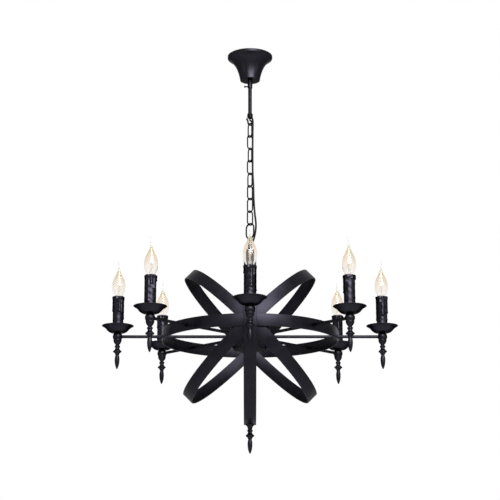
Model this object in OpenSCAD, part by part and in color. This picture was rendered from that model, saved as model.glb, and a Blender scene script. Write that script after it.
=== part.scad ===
// Eight-light candle pendant: a cage of four strap hoops with eight radial arms,
// hung by a link chain and a short stem from a bell canopy on the ceiling.
// Millimetres. The origin is on the ceiling, on the stem's axis. +Z is up, -Y is the front.

/* [Ceiling bracket] */
// Length of the bracket strip
bracket_len = 110; // [102:1:112]
// Width of the bracket strip
bracket_w = 25; // [20:1:28]
// Thickness of the bracket strip
bracket_t = 2; // [1.6:0.1:2.6]
// Depth of the bracket's lowered middle
bracket_drop = 26; // [24:1:28]
// Length of the bracket's lowered middle
bracket_mid = 54; // [50:1:56]
// Distance between the two ceiling screws
fixing_spacing = 88; // [80:1:92]
// Diameter of the ceiling screw holes
fixing_hole_d = 5.2; // [4:0.1:6]
// Length of the terminal block
block_len = 15; // [14:0.5:16]
// Width of the terminal block
block_w = 16; // [12:1:20]
// Height of the terminal block
block_h = 12; // [10:0.5:13]

/* [Stem] */
// Outside diameter of the stem tube
stem_d = 10; // [9:0.5:11]
// Wall of the stem tube
stem_wall = 1; // [0.8:0.1:1.3]
// Length of the stem tube
stem_len = 150; // [145:1:170]
// Width across flats of the stem's lock nuts
stem_nut_af = 14; // [13:0.5:15]
// Height of the stem's lock nuts
stem_nut_h = 4; // [3:0.5:4]

/* [Canopy] */
// Radius of the canopy's rim
canopy_r = 60.3; // [59:0.1:66]
// Height of the canopy
canopy_h = 70; // [66:1:76]
// Height of the canopy's upright lip
canopy_lip = 7; // [5:0.5:9]
// Radius of the canopy's small end
canopy_end_r = 26.6; // [24:0.1:29]
// Wall of the canopy
canopy_wall = 1.2; // [0.8:0.1:1.6]
// Outside diameter of the collar that holds the canopy
collar_d = 13; // [12.6:0.1:15]
// Height of the collar
collar_h = 21.6; // [18:0.2:26]
// Diameter of the collar's screw
screw_d = 3.8; // [3:0.1:4.5]
// Diameter of the screw's head
screw_head_d = 5; // [4.8:0.1:7]

/* [Chain] */
// Diameter of the hook's wire
hook_wire = 4.5; // [4:0.1:4.8]
// Radius of the hook's bend at the middle of its wire
hook_r = 6.5; // [6.2:0.1:6.8]
// Diameter of the hook's body
hook_body_d = 15; // [14:0.5:17]
// Height of the hook's body
hook_body_h = 13; // [12:0.5:15]
// Diameter of the chain's wire
link_wire = 3.5; // [3:0.1:3.7]
// Length of a chain link outside
link_len = 42; // [40:0.1:44]
// Width of a chain link outside
link_w = 21.5; // [21:0.1:22.5]
// Diameter of the eye's wire
eye_wire = 4; // [3.6:0.1:4.2]
// Length of the eye outside
eye_len = 44; // [43:0.1:46]
// Width of the eye outside
eye_w = 30; // [29:0.1:31]
// Height from the eye's lowest wire down to the hoop
neck_h = 35.75; // [35:0.25:37]

/* [Cage] */
// Outside radius of the hoops
hoop_r = 225.5; // [218:0.5:240]
// Width of the hoop straps
strap_w = 31; // [26:0.5:34]
// Thickness of the hoop straps
strap_t = 2.5; // [2:0.1:3]
// Radius of the hub's round side
hub_r = 54; // [50:0.5:60]
// Height of the hub
hub_h = 68; // [60:1:76]
// Wall of the hub
hub_wall = 2.5; // [2:0.1:3]
// Height of the hub's lower cover
cover_h = 14; // [12:0.5:18]
// Outside diameter of the tube between hoop and hub
column_d = 12; // [11.6:0.1:14]

/* [Arms and lamps] */
// Number of arms
arm_count = 8; // [8]
// Radius of the circle on which the lamps stand
lamp_circle_r = 340; // [320:1:360]
// Outside diameter of the arm tubes
arm_d = 8; // [7.4:0.1:9]
// Wall of the arm tubes
arm_wall = 1.2; // [1:0.1:1.4]
// Radius of the ball at the arm's end
ball_r = 12.5; // [12:0.1:14]
// Height of the ball's flat top above its centre
ball_flat = 10.5; // [10:0.1:11]
// Length of the turned drop from its disc to its tip
drop_len = 45.6; // [44:0.1:48]
// Radius of the drip pan
pan_r = 41; // [38:0.5:46]
// Height of the drip pan
pan_h = 17.5; // [15:0.5:22]
// Radius of the drip pan's flat bottom
pan_foot_r = 18.5; // [17:0.5:21]
// Thickness of the drip pan
pan_t = 1.2; // [0.8:0.1:1.6]
// Outside diameter of the candle sleeve
sleeve_d = 28; // [27:0.5:31]
// Wall of the candle sleeve
sleeve_wall = 1.5; // [1:0.1:1.8]
// Height of the candle sleeve
sleeve_h = 93.3; // [86:0.1:100]
// Widest radius of the bulb
bulb_r = 17.5; // [16:0.1:19]
// Length of the bulb's glass up to its drawn-out tip
bulb_len = 76; // [72:0.5:80]
// Radius of the bulb's screw cap
cap_r = 6.8; // [6.6:0.1:6.9]
// Wall of the bulb's glass
glass_wall = 0.9; // [0.7:0.1:1.1]

/* [Supply cable] */
// Diameter of the supply cable
cable_d = 5; // [4.4:0.1:5.4]
// Diameter of the leads in the arms
lead_d = 4.4; // [4:0.1:4.6]

/* [Hidden] */
// Clearance of a screwed or seated fit
fit = 0.05;
// Clearance of a running fit
run = 0.15;
// Gap that keeps touching curved faces apart
gap = 0.3;
// Gap between hoops where they lap at the poles
lap = 0.6;
// Gap between the canopy's rim and the ceiling
rim_gap = 0.3;
// Facets of small, middle and large rounds in the quick mesh
fine = 48;
round_fn = 96;
hoop_fn = 240;
// Past-the-face length of a cutter
over = 1;

// Heights from the ceiling down the stem and the chain
stem_proud = 2;
stem_top_z = -bracket_drop + stem_nut_h + stem_proud;
stem_bot_z = stem_top_z - stem_len;
stem_seat = 6;
hook_top_z = stem_bot_z + stem_seat;
hook_body_z = hook_top_z - hook_body_h;
hook_shank = 5.7;
hook_turn = 35;
hook_z = hook_body_z - hook_shank - hook_r;
hook_low_z = hook_z - hook_r;
collar_top_z = -rim_gap - canopy_h;
screw_z = collar_top_z - collar_h + 5;

// Chain: link centre lines overlap by a wire and the small gap
link_count = 8;
link_r = (link_w - link_wire) / 2;
link_line = link_len - link_wire;
link_pitch = link_line - link_wire - gap;
link_first_z = hook_low_z + hook_wire / 2 + link_wire / 2 + gap;
// How far each link is turned about the chain's axis
link_turns = [-58, 44, -60, 42, -52, 45, -43, 42];
eye_turn = -42;
function link_top(k) = link_first_z - (k - 1) * link_pitch;
chain_low_z = link_top(link_count) - link_line;
eye_top_z = chain_low_z + link_wire / 2 + eye_wire / 2 + gap;
eye_line = eye_len - eye_wire;
eye_r = (eye_w - eye_wire) / 2;
eye_low_z = eye_top_z - eye_line;
hoop_top_z = eye_low_z - neck_h;

// Cage: everything below is placed from the centre of the hoops
cage_z = hoop_top_z - hoop_r;
strap_step = strap_t + lap;
stud_r = 3;
hole_r = arm_d / 2 + 0.2;
arm_step = 360 / arm_count;
spigot_r = 4.85;
spigot_len = 14;
spigot_bore_r = cable_d / 2 + 0.7;
column_bore_r = spigot_r + fit;
column_top_z = hoop_r - strap_t - run;
column_low_z = -hub_h / 2 - 7;
cover_top_z = -hub_h / 2 + cover_h;

// Lamps: heights from the ball's centre
nipple_r = 5;
nipple_low = -4;
nipple_top = 30;
lead_reach = 20;
pan_floor = ball_flat + pan_t;
sleeve_top = pan_floor + sleeve_h;
sleeve_r = sleeve_d / 2;
holder_top = sleeve_top - 7;
cap_low = holder_top - 24;
cap_top = sleeve_top - 3.5;
holder_r = sleeve_r - sleeve_wall - 0.4;
holder_bore_r = cap_r + 0.4;
holder_neck_r = 8;
// Direction in which each bulb's drawn-out tip leans
tip_turns = [200, 150, 20, 100, 0, 260, 170, 190];

// Outline of a turned drop, from the neck over its bead down to the tip,
// as radius and height from its disc
drop_neck = [4.8, 15.6];
drop_tail = 9.2;
function drop_z(share) = -drop_tail - share * (drop_len - drop_tail);
drop_outline = concat(
    bend(drop_neck, [7.5, 15.2], [7.1, 12.8], 4),
    bend([7.1, 12.8], [7, 10.4], [5.2, 9.6], 4),
    bend([5.2, 9.6], [5.4, 5.4], [8.4, 3], 4),
    [[10.6, 1.3]],
    bend([10.6, 1.3], [11.5, 0], [10.6, -1.3], 4),
    bend([10.6, -1.3], [6.4, -3.6], [5.4, -7.2], 4),
    bend([5.4, -7.2], [5.2, -8.8], [4.3, -drop_tail], 3),
    bend([4.3, -drop_tail], [6.1, drop_z(0.13)], [6.2, drop_z(0.32)], 5),
    bend([6.2, drop_z(0.32)], [6.2, drop_z(0.65)], [2.6, drop_z(0.9)], 6),
    bend([2.6, drop_z(0.9)], [1.5, drop_z(0.99)], [0, drop_z(1)], 3));
lamp_disc = -38.5;
finial_disc = -28.5;

// Route of the supply cable: terminal block, stem, beside the chain, eye, column, hub
cable_route = [
    [17, 0, -17], [17, 0, -14], [15, 0, -10.5], [11.5, 0, -8.2], [8.5, 0, -7.6], [5.5, 0, -8.2],
    [2, 0, -10.5], [0, 0, -14], [0, 0, -19], [0, 0, -60], [0, 0, -110], [0, 0, -158], [0.1, 0, -167],
    [1.4, -0.2, -171.2], [4, -0.7, -174.8], [6.3, -1.1, -178.8], [7.4, -1.3, -184], [7.6, -1.2, -192],
    [7.3, -1, -215], [7, -0.7, -250], [7, -0.7, -290], [7.2, -0.7, -330], [9, -0.8, -365],
    [9.8, -0.6, -400], [12, -0.2, -435], [14.8, 0.6, -460], [15.5, 1.2, -474], [14.2, 2.2, -490],
    [10.7, 2.9, -507], [7.6, 2.1, -517], [4, 1.1, -528], [1, 0.3, -538], [0, 0, -545], [0, 0, -600],
    [0, 0, -660], [0, 0, -720], [0, 0, -762]];
cable_sides = 8;
cable_steps = 2;

LINKS = [for (k = [1:link_count]) k];
LAMPS = [for (k = [1:8]) k];

iron = "#2e2d33";
sleeve_black = "#242328";
wire_black = "#1d1c20";
steel = "#9a9a9e";
brass = "#b08d4a";
plastic = "#e6e2d8";
amber = [0.95, 0.82, 0.6, 0.5];

// A quadratic curve from a to b that leans towards c, without its first point
function bend(a, c, b, n) = [for (i = [1:n])
    let (t = i / n) a * (1 - t) * (1 - t) + c * 2 * t * (1 - t) + b * t * t];
function reversed(v) = [for (i = [len(v) - 1:-1:0]) v[i]];
function lifted(v, z) = [for (p = v) [p[0], p[1] + z]];
function unit(v) = v / norm(v);

// Points of a smooth line through p, with steps points to each stretch
function smooth_point(a, b, c, d, t) = 0.5 * (2 * b + (c - a) * t
    + (2 * a - 5 * b + 4 * c - d) * t * t + (3 * b - a - 3 * c + d) * t * t * t);
function smooth_line(p, steps) = concat([for (i = [0:len(p) - 2], j = [0:steps - 1])
    smooth_point(p[max(i - 1, 0)], p[i], p[i + 1], p[min(i + 2, len(p) - 1)], j / steps)],
    [p[len(p) - 1]]);

// A round tube swept along points. Its rings are square to the line.
module swept_tube(points, r, sides) {
    last = len(points) - 1;
    rings = [for (i = [0:last])
        let (d = unit(points[min(i + 1, last)] - points[max(i - 1, 0)]),
             u = unit(cross(d, [0, 1, 0.001])), v = cross(d, u))
        for (s = [0:sides - 1]) points[i] + r * (cos(360 * s / sides) * u + sin(360 * s / sides) * v)];
    walls = [for (i = [0:last - 1], s = [0:sides - 1], h = [0:1])
        let (n = (s + 1) % sides, a = i * sides + s, b = i * sides + n)
        h == 0 ? [a, b, b + sides] : [a, b + sides, a + sides]];
    first_cap = [for (s = [1:sides - 2]) [0, s + 1, s]];
    last_cap = [for (s = [1:sides - 2]) [last * sides, last * sides + s, last * sides + s + 1]];
    polyhedron(rings, concat(walls, first_cap, last_cap));
}

// A length of round wire bent through an angle in the XZ plane, starting at angle from +X
module wire_bend(r, wire, start, angle) {
    rotate([90, 0, 0]) rotate([0, 0, start])
        rotate_extrude(angle = angle, $fn = round_fn) translate([r, 0]) circle(d = wire, $fn = fine);
}

module hex(af, h) {
    cylinder(d = af / cos(30), h = h, $fn = 6);
}

// Nut on an upright axis, its lower face at z
module nut(af, h, bore_r, z) {
    translate([0, 0, z]) difference() {
        hex(af, h);
        translate([0, 0, -over]) cylinder(r = bore_r, h = h + 2 * over, $fn = fine);
    }
}

module to_cage() {
    translate([0, 0, cage_z]) children();
}

// Turns to arm k, with the front arm first and -Y outwards
module to_arm(k) {
    to_cage() rotate([0, 0, arm_step * (k - 1)]) children();
}

module to_lamp(k) {
    to_arm(k) translate([0, -lamp_circle_r, 0]) children();
}

// Ceiling fixing and stem
module ceiling_bracket() {
    half = bracket_len / 2;
    mid = bracket_mid / 2;
    splay = 6;
    side = [[mid, -bracket_drop - bracket_t], [mid + splay + bracket_t, -bracket_t],
            [half, -bracket_t], [half, 0], [mid + splay, 0], [mid, -bracket_drop]];
    outline = concat(side, [for (p = reversed(side)) [-p[0], p[1]]]);
    color(steel) difference() {
        rotate([90, 0, 0]) linear_extrude(bracket_w, center = true) polygon(outline);
        for (s = [-1, 1]) translate([s * fixing_spacing / 2, 0, -bracket_t - over])
            cylinder(d = fixing_hole_d, h = bracket_t + 2 * over, $fn = fine);
        translate([0, 0, -bracket_drop - bracket_t - over])
            cylinder(r = stem_d / 2 + fit, h = bracket_t + 2 * over, $fn = fine);
    }
}

module terminal_block() {
    entry = cable_route[0];
    block_x = stem_nut_af / 2 / cos(30) + 1.4;
    screw_r = 1.8;
    color(plastic) difference() {
        translate([block_x, -block_w / 2, -bracket_drop]) cube([block_len, block_w, block_h]);
        translate([entry[0], 0, entry[2] - run]) cylinder(d = cable_d + 2 * gap, h = block_h, $fn = fine);
        for (s = [-1, 1]) translate([block_x + block_len / 2, s * block_w / 3.2, -bracket_drop + block_h / 2])
            cylinder(r = screw_r, h = block_h, $fn = fine);
    }
}

module stem_nuts() {
    color(steel) {
        nut(stem_nut_af, stem_nut_h, stem_d / 2 + fit, -bracket_drop);
        nut(stem_nut_af, stem_nut_h, stem_d / 2 + fit, -bracket_drop - bracket_t - stem_nut_h);
    }
}

module stem_tube() {
    color(iron) translate([0, 0, stem_bot_z]) difference() {
        cylinder(d = stem_d, h = stem_len, $fn = fine);
        translate([0, 0, -over]) cylinder(r = stem_d / 2 - stem_wall, h = stem_len + 2 * over, $fn = fine);
    }
}

// Body screwed on the stem, with a slanting wire way, and an open hook with a flared tip
module stem_hook() {
    way_r = cable_d / 2 + 0.8;
    way_turn = -10;
    way_tilt = 139;
    chamfer = 1.5;
    flare_r = 10;
    flare_turn = 60;
    color(iron) {
        difference() {
            translate([0, 0, hook_body_z]) rotate_extrude($fn = round_fn) polygon([
                [0, 0], [hook_body_d / 2 - chamfer, 0], [hook_body_d / 2, chamfer],
                [hook_body_d / 2, hook_body_h - chamfer], [hook_body_d / 2 - chamfer, hook_body_h],
                [0, hook_body_h]]);
            translate([0, 0, stem_bot_z]) cylinder(r = stem_d / 2 + fit, h = hook_body_h, $fn = fine);
            translate([0, 0, stem_bot_z + 0.5]) rotate([0, 0, way_turn]) rotate([0, way_tilt, 0])
                cylinder(r = way_r, h = 2 * hook_body_h, $fn = fine);
            translate([0, 0, stem_bot_z - 2]) cylinder(r = way_r, h = 2 + over, $fn = fine);
        }
        translate([0, 0, hook_z]) rotate([0, 0, hook_turn]) {
            translate([0, 0, hook_r]) cylinder(d = hook_wire, h = hook_shank + over, $fn = fine);
            wire_bend(hook_r, hook_wire, -180, 270);
            translate([-hook_r - flare_r, 0, 0]) wire_bend(flare_r, hook_wire, 0, flare_turn);
        }
    }
}

module supply_cable() {
    color(wire_black) swept_tube(smooth_line(cable_route, cable_steps), cable_d / 2, cable_sides);
}

// Canopy and the collar that carries it
module canopy() {
    bore_r = stem_d / 2 + 0.4;
    shelf = [canopy_r - 4.3, -canopy_lip - 2.5];
    waist = [34, -24];
    lip_low = [canopy_r, -canopy_lip + 2];
    small_end = [canopy_end_r, -canopy_h + 2];
    skin = concat([lip_low],
        bend(lip_low, [canopy_r, -canopy_lip - 0.8], shelf, 5),
        bend(shelf, waist, small_end, 12),
        bend(small_end, [canopy_end_r, -canopy_h], [canopy_end_r - 2, -canopy_h], 3));
    lining = [for (p = skin) p + [-canopy_wall, canopy_wall]];
    color(iron) translate([0, 0, -rim_gap]) rotate_extrude($fn = round_fn) polygon(concat(
        [[canopy_r, 0]], skin, [[bore_r, -canopy_h], [bore_r, -canopy_h + canopy_wall]],
        reversed(lining), [[canopy_r - canopy_wall, 0]]));
}

module canopy_collar() {
    collar_r = collar_d / 2;
    edge = 1.2;
    color(iron) difference() {
        translate([0, 0, collar_top_z]) rotate_extrude($fn = round_fn) polygon(concat(
            [[0, 0], [collar_r - edge, 0]],
            bend([collar_r - edge, 0], [collar_r, 0], [collar_r, -edge], 3),
            bend([collar_r, -collar_h + edge], [collar_r, -collar_h], [collar_r - edge, -collar_h], 3),
            [[0, -collar_h]]));
        translate([0, 0, collar_top_z - collar_h - over])
            cylinder(r = stem_d / 2 + run, h = collar_h + 2 * over, $fn = fine);
        translate([0, 0, screw_z]) rotate([0, -90, 0])
            cylinder(r = screw_d / 2 + 0.1, h = collar_d, $fn = fine);
    }
}

module collar_screw() {
    shank = 7;
    head = 4;
    slot_w = 0.9;
    slot_deep = 1.2;
    tip_x = stem_d / 2 + 0.1;
    color(steel) translate([-tip_x, 0, screw_z]) rotate([0, -90, 0]) difference() {
        union() {
            cylinder(d = screw_d, h = shank, $fn = fine);
            translate([0, 0, shank]) cylinder(d = screw_head_d, h = head, $fn = fine);
        }
        translate([0, 0, shank + head - slot_deep / 2 + over / 2])
            cube([slot_w, screw_head_d + over, slot_deep + over], center = true);
    }
}

// A closed link in the XZ plane, the middle of its top wire at the origin
module wire_link(line, r, wire) {
    leg = line - 2 * r;
    translate([0, 0, -r]) wire_bend(r, wire, 0, 180);
    translate([0, 0, -r - leg]) {
        wire_bend(r, wire, 180, 180);
        for (s = [-1, 1]) translate([s * r, 0, 0]) cylinder(d = wire, h = leg, $fn = fine);
    }
}

module chain_link(k) {
    color(iron) translate([0, 0, link_top(k)]) rotate([0, 0, link_turns[k - 1]])
        wire_link(link_line, link_r, link_wire);
}

// Long eye on a neck, whose spigot goes down through the top hoop into the column
module top_eye() {
    top_r = 5.5;
    top = 2.75;
    neck_r = 9;
    shoulder = -11.25;
    flange_r = 11;
    flange_h = 4.5;
    way_r = cable_d / 2 + 1.4;
    // The wire way slants in from beside the eye to the bore
    way_top = [11, 3, 1.75];
    way_low = [0, 0, -32.25];
    way = way_top - way_low;
    boss = [[0, top], [top_r, top], [neck_r, shoulder], [neck_r, -neck_h + flange_h + 2],
        [flange_r, -neck_h + flange_h], [flange_r, -neck_h + 0.1], [spigot_r, -neck_h + 0.1],
        [spigot_r, -neck_h - spigot_len], [0, -neck_h - spigot_len]];
    color(iron) translate([0, 0, eye_low_z]) difference() {
        union() {
            rotate_extrude($fn = round_fn) polygon(boss);
            rotate([0, 0, eye_turn]) translate([0, 0, eye_line]) wire_link(eye_line, eye_r, eye_wire);
        }
        translate([0, 0, -neck_h - spigot_len - over])
            cylinder(r = spigot_bore_r, h = spigot_len + neck_h + way_low[2] + 5, $fn = fine);
        translate(way_low) rotate([0, acos(way[2] / norm(way)), atan2(way[1], way[0])])
            cylinder(r = way_r, h = norm(way) + 12, $fn = fine);
    }
}

// Strap hoops. Each is two arcs whose centres are drawn together by inset,
// so that one hoop laps inside the next at the front and back poles.
module lens_disc(r, inset, h) {
    if (inset == 0) {
        cylinder(r = r, h = h, center = true, $fn = hoop_fn);
    } else {
        intersection() {
            translate([0, inset, 0]) cylinder(r = r, h = h, center = true, $fn = hoop_fn);
            translate([0, -inset, 0]) cylinder(r = r, h = h, center = true, $fn = hoop_fn);
        }
    }
}

module strap_hoop(inset) {
    difference() {
        lens_disc(hoop_r, inset, strap_w);
        lens_disc(hoop_r - strap_t, inset, strap_w + 2 * over);
        rotate([90, 0, 0]) cylinder(r = hole_r, h = 3 * hoop_r, center = true, $fn = fine);
    }
}

module vertical_hoop() {
    stud_hole_r = 3.2;
    color(iron) to_cage() difference() {
        rotate([0, 90, 0]) strap_hoop(0);
        cylinder(r = spigot_r + run, h = hoop_r + over, $fn = fine);
        translate([0, 0, -hoop_r - over]) cylinder(r = stud_hole_r, h = hoop_r, $fn = fine);
    }
}

module ring_hoop() {
    color(iron) to_cage() difference() {
        strap_hoop(strap_step);
        for (a = [arm_step:arm_step:180 - arm_step]) rotate([0, 0, a]) rotate([90, 0, 0])
            cylinder(r = hole_r, h = 3 * hoop_r, center = true, $fn = fine);
    }
}

module left_diagonal_hoop() {
    color(iron) to_cage() rotate([0, -45, 0]) strap_hoop(2 * strap_step);
}

module right_diagonal_hoop() {
    color(iron) to_cage() rotate([0, 45, 0]) strap_hoop(3 * strap_step);
}

// Column and hub
module centre_column() {
    wire_hole_r = 3;
    color(iron) to_cage() difference() {
        translate([0, 0, column_low_z]) cylinder(d = column_d, h = column_top_z - column_low_z, $fn = fine);
        translate([0, 0, column_low_z - over])
            cylinder(r = column_bore_r, h = column_top_z - column_low_z + 2 * over, $fn = fine);
        for (a = [0, 90]) rotate([0, 0, a]) translate([0, 0, -6]) rotate([90, 0, 0])
            cylinder(r = wire_hole_r, h = column_d + over, center = true, $fn = fine);
    }
}

module ball_slab(r, low, high) {
    intersection() {
        sphere(r = r, $fn = round_fn);
        translate([0, 0, low]) cylinder(r = r + over, h = high - low, $fn = round_fn);
    }
}

module hub_body() {
    color(iron) to_cage() difference() {
        ball_slab(hub_r, cover_top_z + fit, hub_h / 2);
        ball_slab(hub_r - hub_wall, cover_top_z - over, hub_h / 2 - hub_wall);
        cylinder(r = column_d / 2 + fit, h = hub_h, $fn = fine);
        for (k = [1:arm_count]) rotate([0, 0, arm_step * (k - 1)]) rotate([90, 0, 0])
            cylinder(r = arm_d / 2 + fit, h = hub_r + over, $fn = fine);
    }
}

module hub_cover() {
    lip_h = 4;
    lip_w = 1.8;
    inner_r = hub_r - hub_wall;
    lip_r = sqrt(inner_r * inner_r - cover_top_z * cover_top_z) - gap;
    color(iron) to_cage() {
        difference() {
            ball_slab(hub_r, -hub_h / 2, cover_top_z);
            ball_slab(inner_r, -hub_h / 2 + hub_wall, cover_top_z + over);
            translate([0, 0, -hub_h]) cylinder(r = column_d / 2 + fit, h = hub_h, $fn = fine);
        }
        translate([0, 0, cover_top_z - lip_h]) difference() {
            cylinder(r = lip_r, h = lip_h, $fn = round_fn);
            translate([0, 0, -over]) cylinder(r = lip_r - lip_w, h = lip_h + 2 * over, $fn = round_fn);
        }
    }
}

module hub_cap_nut() {
    hex_h = 6;
    dome_r = 8;
    af = 18;
    color(iron) to_cage() translate([0, 0, -hub_h / 2 - hex_h]) difference() {
        union() {
            hex(af, hex_h - fit);
            ball_slab(dome_r, -dome_r, over);
        }
        translate([0, 0, -2]) cylinder(r = column_d / 2 + fit, h = hex_h + 2 + over, $fn = fine);
    }
}

// Lock nuts on the column inside the hub and above it, and on the finial's stud
module frame_nuts() {
    column_nut_h = 5;
    column_nut_af = 17;
    stud_nut_h = 4;
    stud_nut_af = 10;
    color(steel) to_cage() {
        nut(column_nut_af, column_nut_h, column_d / 2 + fit, hub_h / 2 + fit);
        nut(column_nut_af, column_nut_h, column_d / 2 + fit, hub_h / 2 - hub_wall - column_nut_h - fit);
        nut(stud_nut_af, stud_nut_h, stud_r + fit, -hoop_r + strap_t + run);
    }
}

// Closed-end connectors that join the leads, standing on the cover's floor
module wire_connectors() {
    body_r = 6;
    body_h = 22;
    reach = 17;
    color(plastic) to_cage() for (s = [-1, 1])
        translate([s * reach, 0, -hub_h / 2 + hub_wall + run]) {
            cylinder(r = body_r, h = body_h, $fn = fine);
            translate([0, 0, body_h]) sphere(r = body_r, $fn = fine);
        }
}

// Arms, with a collar outside the hub and another outside the band
module arms() {
    inner_end = hub_r - hub_wall - 5;
    outer_end = lamp_circle_r - nipple_r - 1;
    color(iron) for (k = [1:arm_count]) to_arm(k) rotate([90, 0, 0])
        translate([0, 0, inner_end]) difference() {
            cylinder(d = arm_d, h = outer_end - inner_end, $fn = fine);
            translate([0, 0, -over])
                cylinder(r = arm_d / 2 - arm_wall, h = outer_end - inner_end + 2 * over, $fn = fine);
        }
}

// Distance from the cage's axis to the outermost strap face at angle a from the front
function band_face(a) = abs(sin(a)) < 0.01 ? hoop_r
    : sqrt(hoop_r * hoop_r - pow(strap_step * sin(a), 2)) - strap_step * abs(cos(a));

module arm_collars() {
    hub_collar_h = 5;
    hub_collar_d = arm_d + 4;
    band_collar_h = 3;
    band_collar_d = arm_d + 3;
    color(iron) for (k = [1:arm_count]) to_arm(k) rotate([90, 0, 0]) {
        translate([0, 0, hub_r]) collar_ring(hub_collar_d, hub_collar_h);
        translate([0, 0, band_face(arm_step * (k - 1)) + run]) collar_ring(band_collar_d, band_collar_h);
    }
}

module collar_ring(d, h) {
    difference() {
        cylinder(d = d, h = h, $fn = fine);
        translate([0, 0, -over]) cylinder(r = arm_d / 2 + fit, h = h + 2 * over, $fn = fine);
    }
}

// Leads that run through each arm and up the nipple to the lampholder
module arm_leads() {
    inner_end = 27;
    color(wire_black) for (k = [1:arm_count]) to_arm(k) {
        rotate([90, 0, 0]) translate([0, 0, inner_end])
            cylinder(d = lead_d, h = lamp_circle_r - inner_end, $fn = fine);
        translate([0, -lamp_circle_r, 0]) {
            sphere(d = lead_d, $fn = fine);
            cylinder(d = lead_d, h = nipple_top + lead_reach, $fn = fine);
        }
    }
}

// Ball that joins arm and candle, with the turned drop below
module lamp_balls() {
    p = ball_r * [[0, -0.4], [0.768, -0.448], [0.92, -0.688], [0.816, -0.96], [0.688, -1.392],
        [0.416, -1.616]];
    cup = concat([p[0], p[1]], bend(p[1], p[2], p[3], 4), bend(p[3], p[4], p[5], 4),
        [drop_neck + [0, lamp_disc]]);
    outline = concat(cup, lifted(drop_outline, lamp_disc));
    color(iron) for (k = LAMPS) to_lamp(k) difference() {
        union() {
            ball_slab(ball_r, -ball_r, ball_flat);
            rotate_extrude($fn = round_fn) polygon(outline);
        }
        translate([0, 0, nipple_low - fit]) cylinder(r = nipple_r + fit, h = 2 * ball_r, $fn = fine);
        rotate([-90, 0, 0]) cylinder(r = arm_d / 2 + fit, h = ball_r + over, $fn = fine);
    }
}

module lamp_nipples() {
    wall = 1.4;
    // The nipple is cut away towards the arm so that the lead can turn upwards
    color(steel) for (k = LAMPS) to_lamp(k) difference() {
        translate([0, 0, nipple_low]) cylinder(r = nipple_r, h = nipple_top - nipple_low, $fn = fine);
        translate([0, 0, nipple_low - over])
            cylinder(r = nipple_r - wall, h = nipple_top - nipple_low + 2 * over, $fn = fine);
        rotate([-90, 0, 0]) cylinder(r = lead_d / 2 + gap, h = nipple_r + over, $fn = fine);
    }
}

module drip_pan(k) {
    rim_z = pan_h + ball_flat;
    belly = [28.5, ball_flat + 7.7];
    skin = concat([[nipple_r + run, ball_flat + fit], [pan_foot_r, ball_flat + fit]],
        bend([pan_foot_r, ball_flat + fit], [24.5, ball_flat + 2.3], belly, 5),
        bend(belly, [32, ball_flat + 12.7], [pan_r, rim_z], 6));
    color(iron) to_lamp(k) rotate_extrude($fn = round_fn)
        polygon(concat(skin, reversed(lifted(skin, pan_t))));
}

// Sleeve with a thick melted lip
module candle_sleeves() {
    inner_r = sleeve_r - sleeve_wall;
    lip_r = sleeve_r + 1;
    foot = pan_floor + 2 * fit;
    body = concat([[inner_r, foot], [sleeve_r, foot], [sleeve_r, sleeve_top - 10]],
        bend([sleeve_r, sleeve_top - 10], [lip_r, sleeve_top - 8], [lip_r, sleeve_top - 5], 4),
        bend([lip_r, sleeve_top - 5], [lip_r, sleeve_top], [sleeve_r - 0.6, sleeve_top], 4),
        [[inner_r, sleeve_top]]);
    color(sleeve_black) for (k = LAMPS) to_lamp(k) rotate_extrude($fn = round_fn) polygon(body);
}

// Lampholder that screws down on the nipple and clamps the pan
module lampholders() {
    foot = pan_floor + fit;
    flange_r = 10;
    outline = [[nipple_r + fit, foot], [flange_r, foot], [flange_r, foot + 3], [holder_neck_r, foot + 4],
        [holder_neck_r, cap_low - 16], [holder_r, cap_low - 10], [holder_r, holder_top - 0.6],
        [holder_r - 0.6, holder_top], [holder_bore_r, holder_top], [holder_bore_r, cap_low - 3],
        [nipple_r + fit, cap_low - 3]];
    color(plastic) for (k = LAMPS) to_lamp(k) rotate_extrude($fn = round_fn) polygon(outline);
}

// Candle bulb: hollow glass drawn out to a bent tip
module bulb_glass(k) {
    foot = cap_top + fit;
    neck_r = 8.3;
    wide = foot + 0.408 * bulb_len;
    shoulder = foot + 0.75 * bulb_len;
    tail = foot + bulb_len;
    outside = concat([[neck_r, foot]],
        bend([neck_r, foot], [neck_r + 0.2, foot + 4], [bulb_r - 6, foot + 8.5], 4),
        bend([bulb_r - 6, foot + 8.5], [bulb_r, foot + 17.5], [bulb_r, wide], 6),
        bend([bulb_r, wide], [bulb_r, wide + 14], [bulb_r - 7, shoulder], 6),
        bend([bulb_r - 7, shoulder], [4.4, shoulder + 11], [2.6, tail], 5));
    inside = [for (i = [0:len(outside) - 3]) outside[i] - [glass_wall, 0]];
    lean = [5, 14];
    first_len = 15;
    color(amber) to_lamp(k) {
        rotate_extrude($fn = round_fn) polygon(concat(outside, [[0, tail + 0.4], [0, tail - 6]], reversed(inside)));
        translate([0, 0, tail - 2]) rotate([0, 0, tip_turns[k - 1]]) {
            rotate([0, lean[0], 0]) cylinder(r1 = 2.4, r2 = 1.6, h = first_len, $fn = fine);
            translate([first_len * sin(lean[0]), 0, first_len * cos(lean[0]) - 0.8])
                rotate([0, lean[1], 0]) cylinder(r1 = 1.5, r2 = 0.8, h = 14, $fn = fine);
        }
    }
}

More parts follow.
